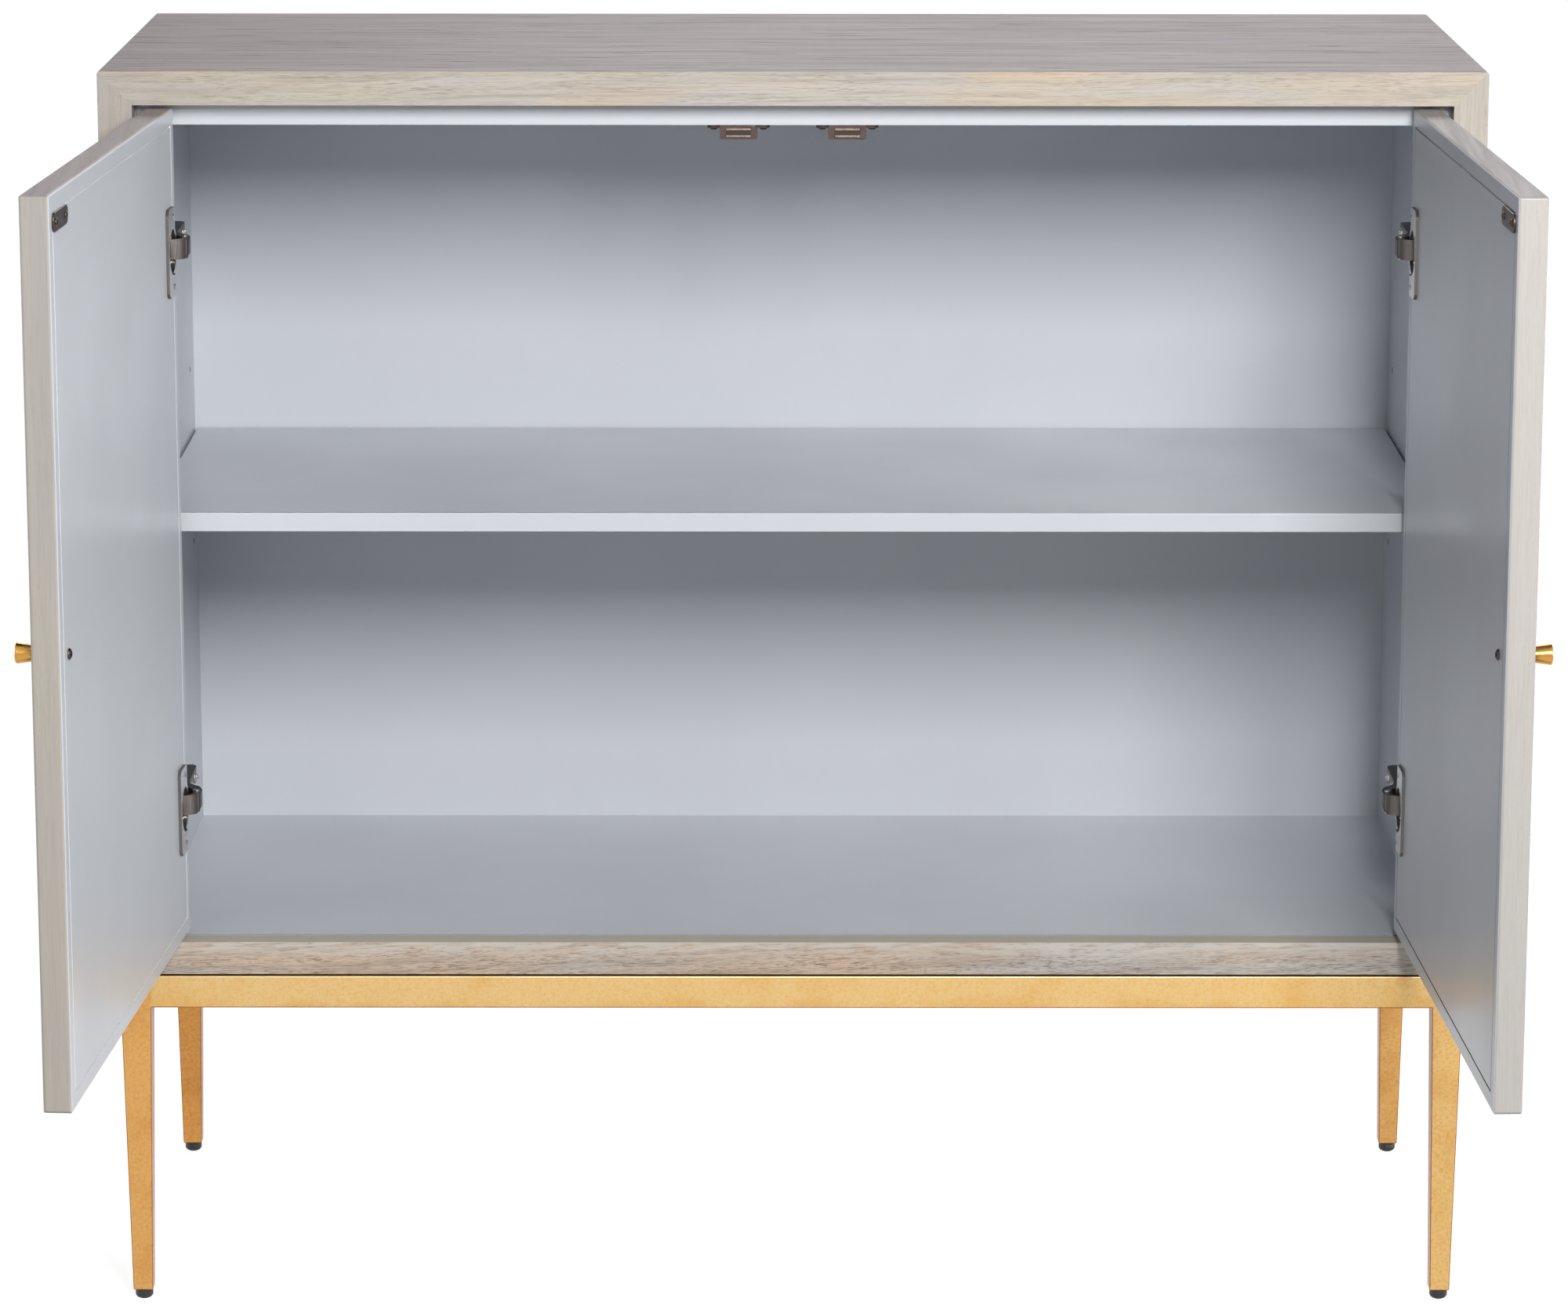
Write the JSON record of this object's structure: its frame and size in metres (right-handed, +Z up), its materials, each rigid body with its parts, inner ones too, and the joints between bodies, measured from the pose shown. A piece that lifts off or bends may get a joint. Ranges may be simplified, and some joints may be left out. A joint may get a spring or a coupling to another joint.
{
  "type": "two-door accent cabinet",
  "caption": "Low two-door accent cabinet: mitred veneered case with inset doors on concealed hinges, one shelf, gilded base with tapered legs.",
  "frame": {"origin": "floor level under the middle of the case", "axes": "+X to the right as the cabinet is faced, +Y from the doors to the back, +Z up"},
  "size_m": [1.0283, 0.8722, 0.942],
  "materials": {
    "oak_veneer": "limed grey oak veneer, matt lacquer",
    "veneered_door": "limed oak veneer outside and on the edges, grey paint inside",
    "grey_paint": "satin grey paint on board",
    "gold_leaf": "gold leaf over wood, worn at the edges",
    "black_glide": "black moulded glide",
    "black_packing": "black stained strip",
    "nickel_steel": "nickel plated pressed steel",
    "zinc_plate": "zinc plated steel",
    "bronzed_steel": "dark bronzed steel",
    "dark_steel": "dark oiled steel",
    "brown_plastic": "brown moulded catch body",
    "magnet": "bare ceramic magnet",
    "brass": "turned and polished brass"
  },
  "bodies": {
    "case": {"top_panel": "oak_veneer", "bottom_panel": "oak_veneer", "left_side_panel": "oak_veneer", "right_side_panel": "oak_veneer", "left_lining": "grey_paint", "right_lining": "grey_paint", "floor_lining": "grey_paint", "top_stop_panel": "grey_paint", "stop_panel_screws": "zinc_plate", "back_panel": "grey_paint", "shelf": "grey_paint", "shelf_pins": "nickel_steel", "left_catch": "brown_plastic", "right_catch": "brown_plastic", "catch_plates": "zinc_plate", "catch_magnets": "magnet", "catch_screws": "bronzed_steel", "left_hinge_arms": "nickel_steel", "right_hinge_arms": "nickel_steel", "left_hinge_plates": "nickel_steel", "right_hinge_plates": "nickel_steel", "plate_screws": "nickel_steel", "arm_screws": "nickel_steel", "arm_pins": "nickel_steel", "front_rail": "gold_leaf", "rear_rail": "gold_leaf", "left_rail": "gold_leaf", "right_rail": "gold_leaf", "front_left_leg": "gold_leaf", "front_right_leg": "gold_leaf", "rear_left_leg": "gold_leaf", "rear_right_leg": "gold_leaf", "leg_glides": "black_glide", "base_packing": "black_packing", "base_bolts": "zinc_plate"},
    "left_door": {"left_door_panel": "veneered_door", "left_hinge_cups": "nickel_steel", "left_cup_screws": "nickel_steel", "left_knob": "brass", "left_knob_screw": "dark_steel", "left_strike_plate": "bronzed_steel", "left_strike_screws": "bronzed_steel"},
    "left_links": {"left_hinge_links": "nickel_steel"},
    "right_door": {"right_door_panel": "veneered_door", "right_hinge_cups": "nickel_steel", "right_cup_screws": "nickel_steel", "right_knob": "brass", "right_knob_screw": "dark_steel", "right_strike_plate": "bronzed_steel", "right_strike_screws": "bronzed_steel"},
    "right_links": {"right_hinge_links": "nickel_steel"}
  },
  "joints": [
    {"name": "left_door_hinge", "type": "hinge", "parent": "case", "child": "left_door", "pos_m": [-0.471, -0.199, 0.601], "axis": [0, 0, 1], "range_deg": [-6.2, 93.8]},
    {"name": "right_door_hinge", "type": "hinge", "parent": "case", "child": "right_door", "pos_m": [0.471, -0.199, 0.601], "axis": [0, 0, -1], "range_deg": [-8, 92]},
    {"name": "left_link_pivot", "type": "hinge", "parent": "case", "child": "left_links", "pos_m": [-0.4481, -0.1883, 0.601], "axis": [0, 0, 1], "range_deg": [-71.2, 5]},
    {"name": "right_link_pivot", "type": "hinge", "parent": "case", "child": "right_links", "pos_m": [0.4481, -0.1883, 0.601], "axis": [0, 0, -1], "range_deg": [-69.9, 6.3]}
  ],
  "couplings": [
    {"joint": "left_link_pivot", "follows": "left_door_hinge", "ratio": -0.755},
    {"joint": "right_link_pivot", "follows": "right_door_hinge", "ratio": -0.755}
  ]
}
